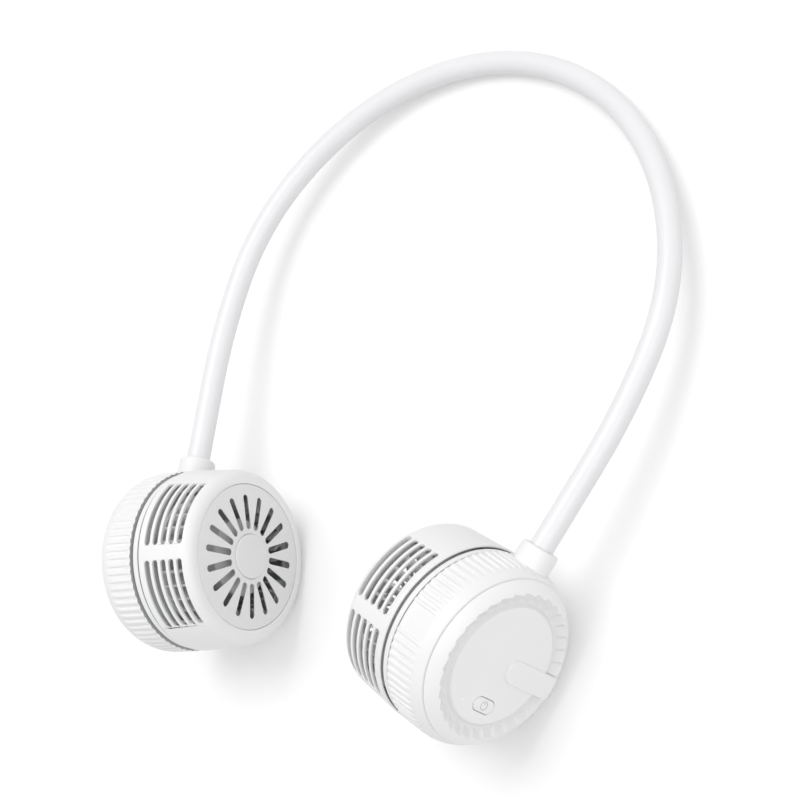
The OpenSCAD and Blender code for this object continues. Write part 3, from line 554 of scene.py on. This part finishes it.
# %% Grille centre
disc_top, disc_t = disc_top_z / mm, 1.05
grille_disc = lathe("left_grille_disc", rounded([
    (hub_r, disc_top - disc_t, 0), (disc_edge, disc_top - disc_t, 0), (disc_edge, disc_top, 0.35),
    (hub_r, disc_top, 0)]), around=120)
close_ends(grille_disc)
shade(grille_disc)
install_both(grille_disc, "grille_centre")
print("grille centre:", len(grille_disc.data.polygons), "faces")

# %% [markdown]
# The swivel ring sits in the channel between the two halves of a drum. It is a plain ring on a
# wider base, and the vented drum turns beside it. Both could be one cylinder each, but one turned
# outline keeps them a single closed form.

# %% Swivel ring
ring_r, ring_from, ring_to = (value / mm for value in head_reach("left_swivel_ring"))
base_r, base_w, ring_w, ring_deep = 27.5, 3.6, 2.2, 0.6
base_in = base_r - base_w
ring_at, ring_top = (back + ring_from - ring_w) / 2, ring_r - ring_deep
ring = lathe("left_channel_ring", rounded([
    (base_in, ring_from, 0), (base_r, ring_from, 0), (base_r, ring_at, 0.15),
    (ring_top, ring_at, 0.3), (ring_top, ring_at + ring_w, 0.3), (base_r, ring_at + ring_w, 0.15),
    (base_r, ring_to, 0.1), (base_in, ring_to, 0), (base_in, ring_from, 0)]), around=240)
shade(ring)
# Painted shade: the ring's base, deep in the channel, takes the grey gap finish.
mark_painted_shade(ring, lambda radius, station, outward: radius < ring_top - 0.8)
install_both(ring, "swivel_ring")
print("swivel ring:", len(ring.data.polygons), "faces")

# %% [markdown]
# The other half of a drum has 72 half-round grip ribs, and rounds off into the cap in a barrel
# curve. Two measures describe it: the barrel's radius at a station, and the ribs' radius beside the
# nearest rib. Modelling each rib as a rod would also work, but its end on the shoulder would then
# have to be shaped by hand.

# %% Rib and barrel shape
barrel_r, barrel_start = 13.2, 1.5
barrel_x = drum - barrel_r
seam_at, seam_w, seam_t = -8.9, 0.35, 1
housing_wall = 1.9
cavity = barrel_x + math.sqrt(barrel_r ** 2 - (seam_at + barrel_start) ** 2) - housing_wall
rib_count, rib_r, rib_h, rib_flat = 72, 0.9, 0.6, 0.06
rib_core = drum - rib_r + rib_flat
rib_half = math.sqrt(rib_r ** 2 - (rib_core - drum + rib_h) ** 2)
rib_points = [0, 0.25, 0.48, 0.66, 0.79, rib_half, rib_half + 0.04]
rib_points = [-point for point in rib_points[:0:-1]] + rib_points
rib_pitch = math.radians(360 / rib_count)
runout_from, runout_over, runout_rise = 4.8, 1.8, 0.6


def barrel(z):
    """Radius of the plain drum and its rounding at a station."""
    return barrel_x + math.sqrt(barrel_r ** 2 - min(0, z + barrel_start) ** 2)


def grip(off, z):
    """Radius of the ribs, off to one side of the nearest. Valleys run out near the channel."""
    top = rib_core + math.sqrt(rib_r ** 2 - off ** 2) if abs(off) < rib_half else 0
    valley = max(0, min(1, (z - runout_from) / runout_over)) * runout_rise
    return min(drum, max(drum - rib_h, top)) * (1 - valley) + drum * valley


print(rib_count, "ribs of", len(rib_points), "points, each", round(2 * rib_half, 2), "mm wide")

# %% [markdown]
# The housing is turned as a plain drum, with thirteen points to each rib, and then its outer wall
# is pulled in. Each point takes the smaller of the two radii. So the ribs run out on the shoulder
# by themselves, as they do on the moulded part.

# %% Ribbed housing
collar_r, collar_top, collar_gap = 6.7, drum + 6.4, 0.1
stub_hole, plate_at, edge_break, channel_break = 9.05, 5, 0.12, 0.35
outer_wall = 1.2
rib_stations = [6.6, 6, 5.4, 4.8, 4, 3, 2, 1, 0] + [-barrel_start - 0.45 * k for k in range(17)]


def ribbed_housing(name, patch_at, patch_ribs):
    """Ribbed half of a drum, with some ribs left out for a patch at an angle from straight up."""
    wall = [(barrel(0) - channel_break, ring_from), (barrel(0) - 0.1, ring_from - 0.1)]
    wall += [(barrel(z), z) for z in rib_stations if z > seam_at + 0.3]
    wall += [(barrel(seam_at + edge_break), seam_at + edge_break),
             (barrel(seam_at) - edge_break, seam_at)]
    housing = lathe(name, [(stub_hole, plate_at), (stub_hole, ring_from), *wall, (cavity, seam_at),
                           (cavity, plate_at), (stub_hole, plate_at)],
                    around=rib_count * len(rib_points))
    for vertex in housing.data.vertices:
        radius, z = vertex.co.xy.length / mm, vertex.co.z / mm
        if radius < cavity + outer_wall:
            continue
        step = step_round(vertex, rib_count * len(rib_points))
        rib, point = divmod(step, len(rib_points))
        nearest = (rib + rib_count // 2) % rib_count - rib_count // 2
        off = rib_half if 2 * abs(nearest) < patch_ribs else rib_points[point]
        turn = rib * rib_pitch + rib_points[point] / drum
        wanted = (min(barrel(z), grip(off, z)) - (barrel(z) - radius)) * mm
        vertex.co.x, vertex.co.y = wanted * math.cos(turn), wanted * math.sin(turn)
    housing.data.transform(turned(90 - patch_at))
    hole_w = 2 * (collar_r + collar_gap)
    collar_hole = pill("collar_cutter", hole_w, hole_w, 12)
    collar_hole.data.transform(at(24) @ turned(90, "Y"))
    return cut_away(housing, collar_hole)


left_housing = ribbed_housing("left_ribbed_shell", 0, 0)
right_housing = ribbed_housing("right_ribbed_shell", -1, 3)
print("ribbed housings:", len(left_housing.data.polygons), "faces each")

# %% [markdown]
# The right housing also has the mouth of the charging socket in its underside. A pill is laid over
# so that it points away from the drum's axis, and is taken out of the wall.

# %% Socket mouth
socket_at, socket_station = 240, -4.523
mouth_w, mouth_len, mouth_deep = 3.6, 9.3, 8
pointing_out = Matrix(((0, 0, 1, 0), (1, 0, 0, 0), (0, 1, 0, 0), (0, 0, 0, 1)))
mouth = pill("mouth_cutter", mouth_w, mouth_len, mouth_deep)
mouth.data.transform(turned(socket_at) @ at(cavity - 2, 0, socket_station) @ pointing_out)
cut_away(right_housing, mouth)
for housing, side in ((left_housing, "left"), (right_housing, "right")):
    shade(housing, 45)
    # Painted shade: the housing's end face at the channel takes the grey gap finish.
    mark_painted_shade(housing, lambda radius, station, outward:
               station > ring_from - 0.08 and abs(outward) < 0.8)
    dressed(carried(housing, side), side + "_ribbed_housing")
print("right housing with the mouth:", len(right_housing.data.polygons), "faces")

# %% [markdown]
# The end cap goes on from the seam along the barrel curve to a crest, drops into a moat, and rises
# to a flat disc. The moat's outer wall is saw-toothed: each of the 32 flutes starts flush and digs
# deeper towards the next one. The outline here is that of the plain cap, without the flutes.

# %% End cap outline
crest_r = drum - 6.5
crest_in = crest_r - 0.5
crest_at = -barrel_start - math.sqrt(barrel_r ** 2 - (crest_r - barrel_x) ** 2)
disc_r, disc_at = crest_r - 4.8, crest_at + 0.75
moat_in, moat_at = disc_r + 0.85, crest_at + 2
moat_out, wall_middle = disc_r + 1.45, 24
wall_rise = (moat_at - crest_at) / (crest_in - moat_out)
cap_wall, spigot, spigot_to = 1.4, cavity - 0.05, seam_at + 1.7
seam_foot, seam_end, seam_break = barrel(seam_at) - seam_t, seam_at - seam_w, 0.22
curve_rings, curve_step, crest_soft = 9, 0.4, 0.04


def cap_surface(r, proud=0.0):
    """Station of the crest and the barrel curve at a radius, with a hair of rounding between."""
    curve = -barrel_start - math.sqrt((barrel_r + proud) ** 2 - max(0, r - barrel_x) ** 2)
    flat = crest_at - proud
    return (curve + flat) / 2 + math.hypot((curve - flat) / 2, crest_soft)


cap_outline = [(disc_r - cap_wall, disc_at + cap_wall), (disc_r - cap_wall, moat_at + cap_wall),
               (spigot - cap_wall, moat_at + cap_wall), (spigot - cap_wall, spigot_to),
               (spigot, spigot_to), (spigot, seam_at), (seam_foot, seam_at), (seam_foot, seam_end),
               (barrel(seam_end) - seam_break, seam_end),
               (barrel(seam_end - seam_break), seam_end - seam_break)]
curve_radii = [crest_r + curve_step * k for k in range(curve_rings, 0, -1)]
cap_outline += [(radius, cap_surface(radius)) for radius in curve_radii]
crest_ring = len(cap_outline)
cap_outline += [(crest_r, cap_surface(crest_r)), (crest_in, crest_at),
                (wall_middle, (crest_at + moat_at) / 2), (moat_out, moat_at), (moat_in, moat_at)]
cap_outline += rounded([(moat_in, moat_at, 0), (disc_r - 0.25, disc_at, 1.6),
                        (disc_r - 3, disc_at, 0)], 8)[1:]
print("end cap outline:", len(cap_outline), "points")

# %% [markdown]
# Turning the outline gives the cap with a plain moat. The flutes could be cut one by one, but a cut
# leaves thin slivers on a slope. So the points of the moat's outer wall are moved instead: the ring
# at its foot, the ring half-way up, and the rings round the crest, which follow the cap's own
# curve.

# %% End cap
flute_count, flute_depth, flute_points, flute_rise = 32, 0.7, 12, 0.75
top_ring, middle_ring, foot_ring, last_moved, ring_apart = 1, 2, 3, -3, 0.08
search_step, cap_shading = 0.01, 24
end_cap = lathe("left_cap_shell", cap_outline, around=flute_count * flute_points)
close_ends(end_cap)
wall_feet = []
for point in range(flute_points):
    share = point / flute_points
    depth = flute_depth * min(share / flute_rise, (1 - share) / (1 - flute_rise))
    wall_feet.append(moat_out + depth / math.sin(math.atan(wall_rise)))
wall_tops = []
for wall_foot in wall_feet:
    wall_top = wall_foot
    while moat_at - (wall_top - wall_foot) * wall_rise > cap_surface(wall_top):
        wall_top += search_step
    wall_tops.append(wall_top)
for vertex in end_cap.data.vertices:
    radius, z = vertex.co.xy.length / mm, vertex.co.z / mm
    nearest = min(range(len(cap_outline)), key=lambda k: math.dist((radius, z), cap_outline[k]))
    past_crest = nearest - crest_ring
    flute, point = divmod(step_round(vertex, flute_count * flute_points), flute_points)
    wall_foot, wall_top = wall_feet[point], wall_tops[point]
    if past_crest == foot_ring:
        radius = wall_foot
    elif past_crest == middle_ring:
        radius, z = (wall_foot + wall_top) / 2, (moat_at + cap_surface(wall_top)) / 2
    elif past_crest == top_ring:
        radius, z = wall_top, cap_surface(wall_top)
    elif last_moved <= past_crest <= 0:
        radius = max(radius, wall_top + ring_apart * (1 - past_crest))
        z = cap_surface(radius)
    turn = math.radians((flute + point / flute_points) * 360 / flute_count)
    vertex.co = (radius * math.cos(turn) * mm, radius * math.sin(turn) * mm, z * mm)
shade(end_cap, cap_shading)
controls_cap = copied(end_cap, "right_cap_shell")
print("end cap:", len(end_cap.data.polygons), "faces")

# %% [markdown]
# A raised tongue runs from the middle of the cap down over the moat and the crest to the lower rim.
# It starts as a flat pill with a softened edge, is sliced both ways, and is then draped over the
# cap's curve. One more cut ends it at the seam, and it is joined to the cap as a closed form of its
# own.

# %% Tongue
tongue_w, tongue_start, tongue_end = 8.3, 2.6, 31.6
tongue_proud, tongue_t = 0.28, 2.35
tongue = pill("tongue", tongue_w, 2 * (tongue_end - tongue_start), tongue_t)
soft_edges(tongue, 0.3, angle=60, segments=3)
tongue.data.transform(at(0, -tongue_end) @ turned(90))
cut_off(tongue, (0, -tongue_end * mm, 0), (0, -1, 0))
sliced(tongue, 0.7, 2 * tongue_end, (0, 1, 0))
sliced(tongue, 1.2, tongue_w, (1, 0, 0))
for vertex in tongue.data.vertices:
    vertex.co.z += cap_surface(vertex.co.xy.length / mm, tongue_proud) * mm
cut_off(tongue, (0, 0, seam_end * mm), (0, 0, 1))
faces_out(tongue)
shade(tongue, cap_shading)
controls_tongue = copied(tongue, "right_tongue")


def install_cap(cap, cap_tongue, side):
    """Joins a cap with its tongue, paints shade on its moat with a darker finish, and installs it on
    a head.
    """
    joined([cap, cap_tongue])
    # Painted shade: the moat's faces take a slightly darker white.
    mark_painted_shade(cap, lambda radius, station, outward: crest_at + 0.1 < station < moat_at + 0.1
               and disc_r - 0.3 < radius and (radius < moat_out + 0.2 or outward < 0.35))
    dressed(carried(cap, side), side + "_end_cap")


install_cap(end_cap, tongue, "left")
print("end cap with its tongue:", len(end_cap.data.polygons), "faces")

# %% [markdown]
# The right cap has two openings, for the power button and for a tiny status light. Both are pills,
# pushed through the flat disc and taken out of it.

# %% Openings of the right cap
button_w, button_len, button_gap, button_proud = 4.9, 9.8, 0.24, 0.3
button_reach, button_drop, light_r, light_gap = disc_r - 7, 2, 0.42, 0.06
button_place = at(-button_reach, -button_drop) @ turned(90)
light_place = at(-(button_reach + light_r + 0.5), 8.2)
for name, width, length, place in (
        ("button_cutter", button_w + 2 * button_gap, button_len + 2 * button_gap, button_place),
        ("light_cutter", 2 * light_r + light_gap, 2 * light_r + light_gap, light_place)):
    opening = pill(name, width, length, 6)
    opening.data.transform(place @ at(z=-15))
    cut_away(controls_cap, opening)
shade(controls_cap, cap_shading)
install_cap(controls_cap, controls_tongue, "right")
print("end cap with its openings:", len(controls_cap.data.polygons), "faces")

# %% [markdown]
# The button is the one control of the fan. It stands a hair proud of the cap, with a thin gap all
# round and a rolled edge. A wider, flat pill behind it is the flange that keeps it from falling out
# of its opening.

# %% Power button
button_top = disc_at - button_proud
key_t, flange_w, flange_t, flange_at = 2.2, 1.4, 0.7, 1.85
button = pill("button_key", button_w, button_len, key_t)
soft_edges(button, 0.35, angle=60, segments=4)
flange = pill("button_flange", button_w + flange_w, button_len + flange_w, flange_t)
flange.data.transform(at(z=flange_at))
cut_away(button, flange, "UNION")
button.data.transform(button_place @ at(z=button_top))
shade(button)
dressed(carried(button, "right"), "power_button")
print("power button:", len(button.data.polygons), "faces")

# %% [markdown]
# The sign is the plain ring and bar that many devices carry, printed a hair thick on the button's
# face. Text or a picture could draw it, but a ring with a notch and a small bar are easy to model,
# and a real shape stays sharp at any distance.

# %% Sign on the button
sign_r, sign_w, sign_t, sign_proud = 1.45, 0.28, 0.03, 0.005
notch_w, bar_len, bar_at = 1.1, 1.6, 1.1
sign_in, sign_out = sign_r - sign_w / 2, sign_r + sign_w / 2
sign = lathe("button_sign", [(sign_in, 0), (sign_out, 0), (sign_out, sign_t), (sign_in, sign_t),
                             (sign_in, 0)], around=48)
notch = pill("notch_cutter", notch_w, 3, 1)
notch.data.transform(at(sign_r, 0, -0.5))
cut_away(sign, notch)
bar = pill("sign_bar", sign_w, bar_len, sign_t)
bar.data.transform(at(bar_at))
joined([sign, bar])
sign.data.transform(at(-button_reach, -button_drop, button_top - sign_t + sign_proud))
shade(sign)
finished(carried(sign, "right"), "power_button", "switch", finishes["print"])
print("sign:", len(sign.data.polygons), "faces")

# %% [markdown]
# Beside the button, the end of a clear light guide fills a tiny hole, so that the light of a diode
# on the board inside shows as a white dot. It is turned from an outline with a rounded end.

# %% Status light
light_top, light_back, light_core = disc_at - 0.12, disc_at + 2, 0.1
light = lathe("light_guide", rounded([
    (light_core, light_top, 0), (light_r, light_top, 0.25), (light_r, light_back, 0),
    (light_core, light_back, 0)], 5), around=40)
close_ends(light)
light.data.transform(light_place)
shade(light)
dressed(carried(light, "right"), "status_light")
print("status light:", len(light.data.polygons), "faces")

# %% [markdown]
# The collar is the short socket where the sleeve enters a drum. It is turned on the Z axis like the
# other round parts, and is then laid over to the neck's direction, which is the head's X.

# %% Collars
sleeve_r, sleeve_from, sleeve_fit = 4.2, drum - 2, 0.15
collar_in, collar_draft, lead_hole = 25.3, 0.15, 3.2
collar = lathe("left_neck_collar", rounded([
    (sleeve_r + sleeve_fit, sleeve_from, 0), (sleeve_r + sleeve_fit, collar_top, 0.2),
    (collar_r - collar_draft, collar_top, 0.9), (collar_r, collar_in, 0), (lead_hole, collar_in, 0),
    (lead_hole, sleeve_from, 0), (sleeve_r + sleeve_fit, sleeve_from, 0)], 8), around=120)
collar.data.transform(turned(90, "Y"))
shade(collar)
install_both(collar, "collar")
print("collar:", len(collar.data.polygons), "faces")

# %% [markdown]
# The sleeve is one round section that is led along the loop: out of the collar on a straight, then
# through three bends to the middle of the crown. A curve with a round bevel could make it too, but
# each bend as a spin of the open end round its own centre keeps the measured radii. A mirror makes
# the other half.

# %% Neck sleeve
neck_straight, straight_steps = 70, 8
neck_bends = ((200, 11.8, 12), (81.6, 30, 20), (102, 63.1, 44))
bpy.ops.object.select_all(action="DESELECT")
bpy.ops.mesh.primitive_circle_add(vertices=64, radius=sleeve_r * mm, fill_type="NGON",
                                  location=(sleeve_from * mm, 0, 0), rotation=(0, math.pi / 2, 0))
sleeve = bpy.context.object
sleeve.name = sleeve.data.name = "neck_tube"
bpy.ops.object.transform_apply()
bpy.ops.object.mode_set(mode="EDIT")
bpy.ops.mesh.select_all(action="SELECT")
run = (neck_straight - sleeve_from) / straight_steps * mm
for step in range(straight_steps):
    bpy.ops.mesh.extrude_region_move(TRANSFORM_OT_translate={"value": (run, 0, 0)})
open_end, heading = Vector((neck_straight * mm, 0, 0)), 0
for radius, bend, steps in neck_bends:
    centre = open_end + radius * mm * Vector((-math.sin(heading), 0, math.cos(heading)))
    bpy.ops.mesh.spin(steps=steps, angle=math.radians(bend), center=centre, axis=(0, 1, 0))
    heading += math.radians(bend)
    open_end = centre + radius * mm * Vector((math.sin(heading), 0, -math.cos(heading)))
bpy.ops.mesh.delete(type="ONLY_FACE")
bpy.ops.object.mode_set(mode="OBJECT")
sleeve.data.transform(left_head)
modified(sleeve, "MIRROR", use_clip=True, merge_threshold=0.02 * mm)
faces_out(sleeve)
shade(sleeve, 60)
dressed(sleeve, "neck_sleeve")
print("crown of the sleeve at", [round(value / mm, 2) for value in left_head @ open_end], "mm")

# %% [markdown]
# The fan lies on a plain floor. To the camera, and in reflections, the floor and the sky are white,
# as in the photograph, but they light the fan less than that. So the white plastic keeps its
# shades, and the fan's own shadow still falls on the floor.

# %% Floor
def seen_rays(tree, unseen, seen):
    """Socket with one value for rays that light the object, and one for rays that are seen."""
    paths = tree.nodes.new("ShaderNodeLightPath")
    total = paths.outputs["Is Camera Ray"]
    for ray in ("Is Glossy Ray", "Is Transmission Ray"):
        either = tree.nodes.new("ShaderNodeMath")
        either.operation = "MAXIMUM"
        tree.links.new(total, either.inputs[0])
        tree.links.new(paths.outputs[ray], either.inputs[1])
        total = either.outputs["Value"]
    level = tree.nodes.new("ShaderNodeMapRange")
    level.inputs["To Min"].default_value = unseen
    level.inputs["To Max"].default_value = seen
    tree.links.new(total, level.inputs["Value"])
    return level.outputs["Result"]


floor_grey, floor_lift = 0.76, 0.22
bpy.ops.object.select_all(action="DESELECT")
bpy.ops.mesh.primitive_plane_add(size=8, location=(0, 0, 0))
floor = bpy.context.object
floor.name = "floor"
floor_finish = bpy.data.materials.new("white_floor")
floor_finish.use_nodes = True
tree = floor_finish.node_tree
tree.nodes.remove(tree.nodes["Principled BSDF"])
matt = tree.nodes.new("ShaderNodeBsdfDiffuse")
matt.inputs["Color"].default_value = (floor_grey, floor_grey, floor_grey, 1)
glow = tree.nodes.new("ShaderNodeEmission")
glow.inputs["Color"].default_value = (1, 1, 1, 1)
both = tree.nodes.new("ShaderNodeAddShader")
tree.links.new(seen_rays(tree, 0, floor_lift), glow.inputs["Strength"])
tree.links.new(matt.outputs["BSDF"], both.inputs[0])
tree.links.new(glow.outputs["Emission"], both.inputs[1])
tree.links.new(both.outputs["Shader"], tree.nodes["Material Output"].inputs["Surface"])
floor.data.materials.append(floor_finish)
print("floor", round(floor.dimensions.x, 1), "m wide")

# %% [markdown]
# Most of the light is the even sky, as in a white studio. A large lamp above and behind gives the
# neck its bright and dark sides, and a weaker one from the right keeps the cap and the grille from
# going dull. Both are wide, so the shadows stay soft.

# %% Light
sky_light, sky_white = 0.62, 1
world = bpy.data.worlds.new("soft_sky")
bpy.context.scene.world = world
world.use_nodes = True
sky = world.node_tree.nodes["Background"]
sky.inputs["Color"].default_value = (1, 1, 1, 1)
tree = world.node_tree
tree.links.new(seen_rays(tree, sky_light, sky_white), sky.inputs["Strength"])
for name, towards, energy, spread in (("overhead_lamp", (-0.1, 0.28, 0.95), 1.2, 40),
                                      ("side_lamp", (0.75, -0.05, 0.66), 0.75, 50)):
    bpy.ops.object.light_add(type="SUN", location=towards)
    lamp = bpy.context.object
    lamp.name = name
    lamp.data.energy = energy
    lamp.data.angle = math.radians(spread)
    lamp.rotation_euler = Vector(towards).to_track_quat("Z", "Y").to_euler()
    print(name, "at strength", energy)
bpy.context.scene.view_settings.view_transform = "Standard"
